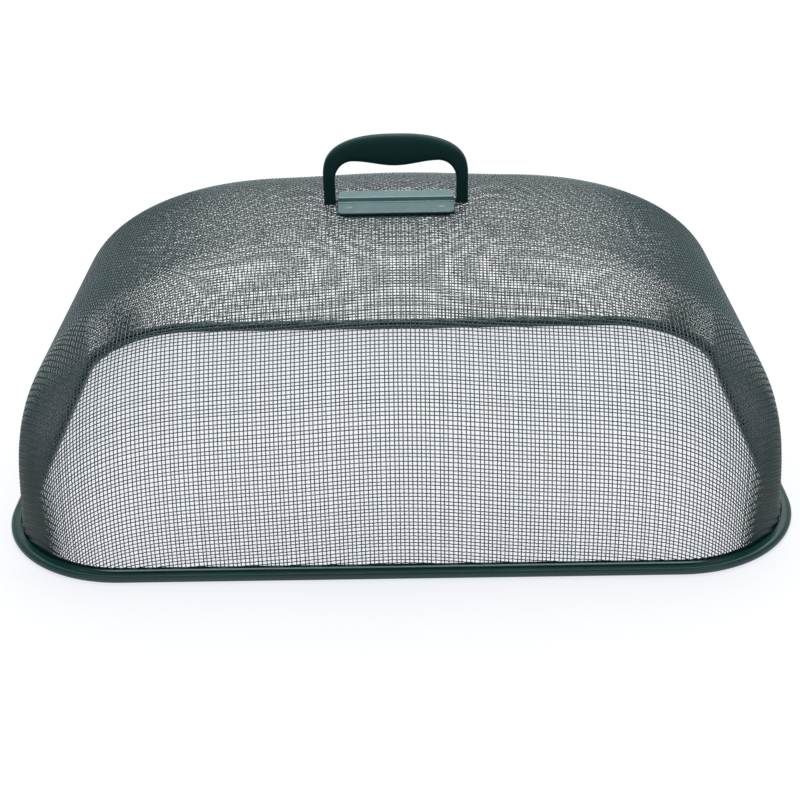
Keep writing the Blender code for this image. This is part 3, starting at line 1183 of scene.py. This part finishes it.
    def thicken(self, line: list[Vector]) -> list[Vector]:
        """Give a middle line the strip's thickness.

        Args:
            line: Middle line of the strip.

        Returns:
            Corners of the closed outline.
        """
        outer, inner = [], []
        for index, point in enumerate(line):
            before = (point - line[index - 1]).normalized() if index else None
            after = (line[index + 1] - point).normalized() if index + 1 < len(line) else None
            way_in, way_out = before or after, after or before
            normal = Vector((-way_in.y, way_in.x))
            mitre = (normal + Vector((-way_out.y, way_out.x))).normalized()
            reach = self.strip / 2 / mitre.dot(normal)
            outer.append(point + mitre * reach)
            inner.append(point - mitre * reach)
        return outer + inner[::-1]

    def round_bends(self, outline: list[Vector], sharp: list[bool]) -> list[Vector]:
        """Replace the sharp corners of a closed outline by short curves.

        Args:
            outline: Corners of the outline.
            sharp: Tells for each corner whether it is rounded.

        Returns:
            The rounded outline.
        """
        rounded = []
        for index, point in enumerate(outline):
            if not sharp[index]:
                rounded.append(point)
                continue
            back = outline[index - 1] - point
            ahead = outline[(index + 1) % len(outline)] - point
            reach = min(self.bend_reach, self.bend_share * back.length, self.bend_share * ahead.length)
            start = point + back.normalized() * reach
            end = point + ahead.normalized() * reach
            for step in range(self.round_steps + 1):
                share = step / self.round_steps
                rounded.append(start.lerp(point, share).lerp(point.lerp(end, share), share))
        return rounded


@dataclass
class HandlePlate:
    """Pressed plate on the crown, with a skirt, sloping flanges, the rod's channel and weld dimples."""

    finish: Finish = PLATE_PAINT
    place: Place = Place(Body.COVER, ("handle_plate",), Slot.PLATE)
    length: float = 0.0714
    width: float = 0.040
    corner_radius: float = 0.0040
    sheet: float = 0.0008
    foot: float = 0.1602
    skirt_foot: float = 0.1605
    top: float = ROD_HEIGHT
    edge_radius: float = 0.0005
    pocket_edge_share: float = 0.25
    flange_slope: float = 0.044
    flange_pivot: float = 0.009
    channel_radius: float = 0.00135
    ridge_fillet: float = 0.0018
    dimple_mouth: float = 0.0022
    dimple_depth: float = 0.00014
    dimple_foot: float = 0.0018
    dimple_steps: int = 8
    dimple_reach: tuple[float, float] = (0.02785, 0.0124)
    corner_steps: int = 12
    edge_steps: int = 6
    fillet_steps: int = 6
    crest_steps: int = 28
    round_sides: int = 48
    overrun: float = 0.002
    sharp_angle: float = math.radians(35)

    def build(self) -> bpy.types.Object:
        """Press the plate.

        Returns:
            The dressed piece.
        """
        plate = self.body("pressed_plate", 0.0, self.skirt_foot, self.top, self.edge_radius)
        self.press_channel(plate)
        self.press_dimples(plate)
        self.bend_flanges(plate)
        Shaper.settle(plate, self.sharp_angle)
        return self.place.dress(plate, self.finish)

    def body(self, name: str, inset: float, low: float, high: float, edge: float) -> bpy.types.Object:
        """Rounded slab with a soft upper edge.

        Args:
            name: Name of the body.
            inset: How far it lies inside the plate's outline.
            low: Height of its foot.
            high: Height of its top.
            edge: Radius of its upper edge.

        Returns:
            The body.
        """
        levels = [(inset, low)]
        for point in Shaper.arc((edge, high - edge), edge, math.pi, -QUARTER_TURN, self.edge_steps):
            levels.append((inset + point.x, point.y))
        points, faces = Shaper.slab(self.length, self.width, self.corner_radius, levels, self.corner_steps)
        return Shaper.piece(name, points, faces, self.sharp_angle)

    def ridge_profile(self) -> list[Vector]:
        """Section of the ridge over the channel, with hollow curves where it meets the plate.

        Returns:
            Vectors of across and up from the rod's axis.
        """
        radius, fillet = self.channel_radius + self.sheet, self.ridge_fillet
        lift = math.asin(fillet / (radius + fillet))
        span = (radius + fillet) * math.cos(lift)
        base = -self.sheet / 2
        right = Shaper.arc((span, fillet), fillet, -QUARTER_TURN, lift - QUARTER_TURN, self.fillet_steps)
        crest = Shaper.arc((0, 0), radius, lift, math.pi - 2 * lift, self.crest_steps)
        left = [Vector((-point.x, point.y)) for point in reversed(right)]
        return [Vector((-span, base)), Vector((span, base))] + right + crest[1:-1] + left

    def press_channel(self, plate: bpy.types.Object) -> None:
        """Press the ridge and hollow the plate out below it.

        Args:
            plate: The plate's body.
        """
        ridge = Shaper.bar(self.ridge_profile(), self.length / 2, self.top)
        Shaper.cut(plate, Shaper.piece("ridge", *ridge, self.sharp_angle), Cut.JOIN)
        low = self.foot - self.overrun
        edge = self.edge_radius * self.pocket_edge_share
        pocket = self.body("pocket", self.sheet, low, self.top - self.sheet, edge)
        Shaper.cut(plate, pocket, Cut.REMOVE)
        half = self.length / 2 + self.overrun
        radius = self.channel_radius
        trough = Shaper.arc((0, 0), radius, 0.0, math.pi, self.round_sides // 2)
        trough += [Vector((-radius, low - self.top)), Vector((radius, low - self.top))]
        channel = Shaper.bar(trough, half, self.top)
        Shaper.cut(plate, Shaper.piece("trough", *channel, self.sharp_angle), Cut.REMOVE)

    def press_dimples(self, plate: bpy.types.Object) -> None:
        """Press the four shallow dimples, each over a foot that stands on the cloth.

        Args:
            plate: The plate's body.
        """
        depth = self.dimple_depth
        bowl_radius = (self.dimple_mouth**2 + depth**2) / (2 * depth)
        bowl = []
        for index in range(1, self.dimple_steps + 1):
            rise = depth * (index / self.dimple_steps) ** 2
            bowl.append((math.sqrt(2 * bowl_radius * rise - rise**2), self.top - depth + rise))
        bowl.append((self.dimple_mouth, self.top + self.overrun))
        boss = [(self.dimple_foot, self.foot), (self.dimple_mouth, self.top - self.sheet / 2)]
        for number, (x, y) in enumerate(((-1, -1), (1, -1), (1, 1), (-1, 1)), start=1):
            centre = (x * self.dimple_reach[0], y * self.dimple_reach[1])
            body = Shaper.turned(*centre, boss, self.round_sides)
            Shaper.cut(plate, Shaper.piece(f"boss_{number}", *body, self.sharp_angle), Cut.JOIN)
            hole = Shaper.turned(*centre, bowl, self.round_sides)
            Shaper.cut(plate, Shaper.piece(f"mouth_{number}", *hole, self.sharp_angle), Cut.REMOVE)

    def bend_flanges(self, plate: bpy.types.Object) -> None:
        """Bend the plate so that it slopes down from its ridge to its front and back edges.

        Args:
            plate: The plate's body.
        """
        for point in plate.data.vertices:
            point.co.z += self.flange_slope * (self.flange_pivot - abs(point.co.y))


@dataclass
class BackingPlate:
    """Flat plate inside the cover, under the cloth."""

    finish: Finish = ROD_PAINT
    place: Place = Place(Body.COVER, ("backing_plate",), Slot.BACKING)
    length: float = 0.0664
    width: float = 0.035
    corner_radius: float = 0.0040
    top: float = 0.1586
    thickness: float = 0.0008
    edge_radius: float = 0.00035
    edge_steps: int = 5
    corner_steps: int = 12
    sharp_angle: float = math.radians(40)

    def build(self) -> bpy.types.Object:
        """Cut the plate.

        Returns:
            The dressed piece.
        """
        foot, edge = self.top - self.thickness, self.edge_radius
        bend = Shaper.arc((0, foot + edge), edge, -QUARTER_TURN, QUARTER_TURN, self.edge_steps)
        levels = [(edge - point.x, point.y) for point in bend] + [(0.0, self.top)]
        points, faces = Shaper.slab(self.length, self.width, self.corner_radius, levels, self.corner_steps)
        plate = Shaper.piece("flat_backing_plate", points, faces, self.sharp_angle)
        Shaper.settle(plate, self.sharp_angle)
        return self.place.dress(plate, self.finish)


@dataclass
class PivotRod:
    """Steel wire that lies in the channel, its ends in the handle's feet."""

    finish: Finish = ROD_PAINT
    place: Place = Place(Body.COVER, ("pivot_rod",), Slot.ROD)
    length: float = 0.0828
    radius: float = 0.00125
    chamfer: float = 0.0003
    height: float = ROD_HEIGHT
    chamfer_steps: int = 4
    half_steps: int = 4
    sides: int = 40
    sharp_angle: float = math.radians(50)

    def build(self) -> bpy.types.Object:
        """Cut the rod.

        Returns:
            The dressed piece.
        """
        half, edge = self.length / 2, self.chamfer
        stations = [(half, self.radius - edge)]
        for index in range(1, self.chamfer_steps + 1):
            turn = QUARTER_TURN * index / self.chamfer_steps
            stations.append((half - edge * (1 - math.cos(turn)), self.radius - edge * (1 - math.sin(turn))))
        for index in reversed(range(self.half_steps)):
            stations.append((half * index / self.half_steps, self.radius))
        stations += [(-place, radius) for place, radius in reversed(stations[:-1])]
        rings = []
        for place, radius in reversed(stations):
            circle = Shaper.circle((0, 0), radius, self.sides)
            rings.append([(place, point.x, self.height + point.y) for point in circle])
        points, faces = Shaper.loft(rings)
        rod = Shaper.piece("round_pivot_rod", points, faces, self.sharp_angle)
        return self.place.dress(rod, self.finish)


@dataclass
class CarryHandle:
    """Moulded bow with a swollen grip, and a blind socket in each foot for the rod."""

    finish: Finish = HANDLE_PLASTIC
    place: Place = Place(Body.HANDLE, ("carry_handle",), Slot.HANDLE)
    width: float = 0.0884
    height: float = 0.0423
    axis_height: float = ROD_HEIGHT
    arch_rise: float = 0.0253
    arch_power: float = 2.5
    foot_width: float = 0.0072
    foot_radius: float = 0.0023
    hump_height: float = 0.0257
    hump_reach: float = 0.0265
    corner_drop: float = 0.0117
    belly_drop: float = 0.0030
    grip_depth: float = 0.0100
    neck_depth: float = 0.0088
    shoulder_depth: float = 0.0082
    grip_power: float = 2.6
    foot_power: float = 5.0
    socket_depth: float = 0.0047
    socket_radius: float = 0.00135
    socket_sides: int = 36
    hump_turn: float = math.radians(38)
    section_points: int = 44
    grip_steps: int = 20
    shoulder_steps: int = 22
    leg_steps: int = 6
    foot_steps: int = 8
    foot_end_gap: float = 0.5
    sharp_angle: float = math.radians(50)

    def build(self) -> bpy.types.Object:
        """Mould the handle.

        Returns:
            The dressed piece.
        """
        half = self.stations()
        rings = [self.ring(*station, -1) for station in reversed(half[1:])]
        rings += [self.ring(*station, 1) for station in half]
        points, faces = Shaper.loft(rings)
        handle = Shaper.piece("moulded_handle", points, faces, self.sharp_angle)
        circle = Shaper.circle((0, 0), self.socket_radius, self.socket_sides)
        reach = self.width / 2 - self.foot_width + self.socket_depth
        sockets = Shaper.bar(circle, reach, self.axis_height)
        Shaper.cut(handle, Shaper.piece("sockets", *sockets, self.sharp_angle), Cut.REMOVE)
        Shaper.settle(handle, self.sharp_angle)
        return self.place.dress(handle, self.finish)

    def arch(self, turn: float) -> Vector:
        """Point of the outer outline.

        Args:
            turn: Angle down from the outline's top.

        Returns:
            The distance from the middle and the height above the rod.
        """
        reach = abs(math.sin(turn)) ** (2 / self.arch_power)
        rise = abs(math.cos(turn)) ** (2 / self.arch_power)
        return Vector((self.width / 2 * reach, self.height - self.arch_rise * (1 - rise)))

    def stations(self) -> list[tuple[Vector, Vector, float, float]]:
        """Sections from the grip's middle to one foot's end.

        Returns:
            For each the outer point, the inner point, the depth and the section's power.
        """
        inner_edge = self.width / 2 - self.foot_width
        arch_foot = self.height - self.arch_rise
        side_height = self.hump_height - self.corner_drop
        stations = []
        for index in range(self.grip_steps):
            share = index / self.grip_steps
            swell = self.belly_drop * (1 + math.cos(math.pi * share)) / 2
            inner = Vector((self.hump_reach * share, self.hump_height - swell))
            fade = math.sin(QUARTER_TURN * share) ** 2
            depth = self.grip_depth + (self.neck_depth - self.grip_depth) * fade
            stations.append((self.arch(self.hump_turn * share), inner, depth, self.grip_power))
        for index in range(self.shoulder_steps):
            share = index / self.shoulder_steps
            turn = QUARTER_TURN * share
            reach = self.hump_reach + (inner_edge - self.hump_reach) * math.sin(turn)
            inner = Vector((reach, self.hump_height - self.corner_drop * (1 - math.cos(turn))))
            outer = self.arch(self.hump_turn + (QUARTER_TURN - self.hump_turn) * share)
            depth = self.neck_depth + (self.shoulder_depth - self.neck_depth) * share
            power = self.grip_power + (self.foot_power - self.grip_power) * share
            stations.append((outer, inner, depth, power))
        for index in range(self.leg_steps):
            share = index / self.leg_steps
            outer = Vector((self.width / 2, arch_foot * (1 - share)))
            inner = Vector((inner_edge, side_height * (1 - share)))
            depth = self.shoulder_depth + (2 * self.foot_radius - self.shoulder_depth) * share
            stations.append((outer, inner, depth, self.foot_power))
        last_turn = QUARTER_TURN * (self.foot_steps - self.foot_end_gap) / self.foot_steps
        for index in range(self.foot_steps + 1):
            turn = last_turn * index / self.foot_steps
            height = -self.foot_radius * math.sin(turn) / math.sin(last_turn)
            depth = 2 * self.foot_radius * math.cos(turn)
            outer, inner = Vector((self.width / 2, height)), Vector((inner_edge, height))
            stations.append((outer, inner, depth, self.foot_power))
        return stations

    def ring(self, outer: Vector, inner: Vector, depth: float, power: float, side: int) -> Ring:
        """Rounded section between the outer and inner outlines.

        Args:
            outer: Point of the outer outline.
            inner: Point of the inner outline.
            depth: Depth from front to back.
            power: How square the section is.
            side: 1 for the right half, -1 for the left half.

        Returns:
            The section's points.
        """
        middle, reach = (outer + inner) / 2, (outer - inner) / 2
        points = []
        for index in range(self.section_points):
            angle = FULL_TURN * (index + 0.5) / self.section_points
            cosine, sine = math.cos(angle), math.sin(angle)
            place = middle + reach * math.copysign(abs(cosine) ** (2 / power), cosine)
            across = depth / 2 * math.copysign(abs(sine) ** (2 / power), sine)
            points.append((side * place.x, across, self.axis_height + place.y))
        return points


@dataclass
class Camera:
    """Camera at the photograph's angle."""

    eye: Point = (0.00634856, -0.833433, 0.46429992)
    target: Point = (0.0, 0.0, 0.05)
    roll: float = -0.019176
    focal_pixels: float = 1432.99
    middle_pixels: tuple[float, float] = (399.145, 364.189)
    image_pixels: int = 800
    sensor_width: float = 36.0
    clip: tuple[float, float] = (0.01, 50.0)

    def build(self) -> bpy.types.Object:
        """Set the camera up.

        Returns:
            The camera.
        """
        data = bpy.data.cameras.new("photo_camera")
        data.sensor_width = self.sensor_width
        data.lens = self.focal_pixels * self.sensor_width / self.image_pixels
        half = self.image_pixels / 2
        data.shift_x = (half - self.middle_pixels[0]) / self.image_pixels
        data.shift_y = (self.middle_pixels[1] - half) / self.image_pixels
        data.clip_start, data.clip_end = self.clip
        camera = put("photo_camera", data)
        ahead = (Vector(self.target) - Vector(self.eye)).normalized()
        right = ahead.cross(Vector((0, 0, 1))).normalized()
        up = right.cross(ahead)
        tilted = Matrix.Rotation(self.roll, 3, -ahead)
        axes = Matrix((tilted @ right, tilted @ up, -ahead)).transposed()
        camera.matrix_world = Matrix.Translation(self.eye) @ axes.to_4x4()
        bpy.context.scene.camera = camera
        return camera


@dataclass(frozen=True)
class Softbox:
    """One large soft lamp."""

    name: str
    place: Point
    aim: Point
    size: tuple[float, float]
    power: float

    def build(self) -> bpy.types.Object:
        """Hang the lamp.

        Returns:
            The lamp.
        """
        data = bpy.data.lights.new(self.name, "AREA")
        data.shape = "RECTANGLE"
        data.size, data.size_y = self.size
        data.energy = self.power
        lamp = put(self.name, data)
        way = Vector(self.aim) - Vector(self.place)
        lamp.location = self.place
        lamp.rotation_mode = "QUATERNION"
        lamp.rotation_quaternion = way.to_track_quat("-Z", "Y")
        return lamp


@dataclass(frozen=True)
class Skylight:
    """Wide soft light from above and behind, the same all over the floor."""

    name: str
    lean: tuple[float, float]
    softness: float
    strength: float

    def build(self) -> bpy.types.Object:
        """Hang the light.

        Returns:
            The light.
        """
        data = bpy.data.lights.new(self.name, "SUN")
        data.energy = self.strength
        data.angle = self.softness
        light = put(self.name, data)
        light.rotation_euler = (*self.lean, 0.0)
        return light


@dataclass
class Studio:
    """Plain white studio: a floor, a white surround and soft lamps."""

    floor_half: float = 6.0
    floor_lit: float = 0.265
    floor_shown: Colour = (0.176, 0.158, 0.141)
    floor_glow: Colour = (0.720, 0.755, 0.810)
    surround_light: float = 0.20
    white: Colour = (1.0, 1.0, 1.0)
    lamps: tuple[Softbox | Skylight, ...] = (
        Skylight(
            name="sky_lamp",
            lean=(math.radians(-28), math.radians(3)),
            softness=math.radians(60),
            strength=4.8,
        ),
        Softbox(
            name="left_lamp", place=(-1.0, -1.3, 1.7), aim=(0.0, 0.0, 0.08), size=(1.0, 1.0), power=9.0
        ),
        Softbox(
            name="right_lamp", place=(1.1, -1.2, 1.7), aim=(0.0, 0.0, 0.08), size=(1.0, 1.0), power=9.0
        ),
    )

    def build(self) -> None:
        """Set the studio up."""
        for lamp in self.lamps:
            lamp.build()
        self.lay_floor()
        self.paint_surround()
        bpy.context.scene.view_settings.view_transform = "Standard"

    @staticmethod
    def show(nodes: Nodes, lit: bpy.types.Node, shown: bpy.types.Node, output: str) -> None:
        """Show the background with one shader and let it light the object with another.

        Args:
            nodes: Nodes of the background's material or world.
            lit: Shader for the rays that light the object.
            shown: Shader for camera, glossy and transmission rays.
            output: Blender's name of the output node's type.
        """
        path = nodes.add("ShaderNodeLightPath")
        seen = path.outputs["Is Camera Ray"]
        for ray in ("Is Glossy Ray", "Is Transmission Ray"):
            either = nodes.add("ShaderNodeMath", operation="MAXIMUM")
            nodes.join(seen, either.inputs[0])
            nodes.join(path.outputs[ray], either.inputs[1])
            seen = either.outputs[0]
        pick = nodes.add("ShaderNodeMixShader")
        for source, target in zip((seen, lit.outputs[0], shown.outputs[0]), pick.inputs, strict=True):
            nodes.join(source, target)
        nodes.join(pick.outputs[0], nodes.add(output).inputs[0])

    def lay_floor(self) -> None:
        """Lay a white floor that keeps the object's shadow."""
        half = self.floor_half
        corners = [(-half, -half, 0), (half, -half, 0), (half, half, 0), (-half, half, 0)]
        floor = Shaper.piece("studio_floor", corners, [(0, 1, 2, 3)], QUARTER_TURN)
        material = bpy.data.materials.new("white_floor")
        material.use_nodes = True
        material.node_tree.nodes.clear()
        nodes = Nodes(material.node_tree)
        lit = nodes.shader("ShaderNodeBsdfDiffuse", (self.floor_lit,) * 3)
        both = nodes.add("ShaderNodeAddShader")
        shown = nodes.shader("ShaderNodeBsdfDiffuse", self.floor_shown)
        glow = nodes.shader("ShaderNodeEmission", self.floor_glow)
        nodes.join(shown.outputs[0], both.inputs[0])
        nodes.join(glow.outputs[0], both.inputs[1])
        self.show(nodes, lit, both, "ShaderNodeOutputMaterial")
        floor.data.materials.append(material)

    def paint_surround(self) -> None:
        """Make the surround white to look at, and softer as a light."""
        world = bpy.data.worlds.new("white_surround")
        world.use_nodes = True
        bpy.context.scene.world = world
        world.node_tree.nodes.clear()
        nodes = Nodes(world.node_tree)
        light, shown = (nodes.shader("ShaderNodeBackground", self.white) for _ in range(2))
        light.inputs["Strength"].default_value = self.surround_light
        self.show(nodes, light, shown, "ShaderNodeOutputWorld")


def main() -> None:
    """Build the cover and its studio."""
    logging.basicConfig(level=logging.INFO, format="%(message)s", stream=sys.stdout)
    Camera().build()
    Studio().build()
    RolledRim().build()
    WireCloth(WireNet(DomeForm())).build()
    HandlePlate().build()
    BackingPlate().build()
    PivotRod().build()
    CarryHandle().build()


if __name__ == "__main__":
    main()
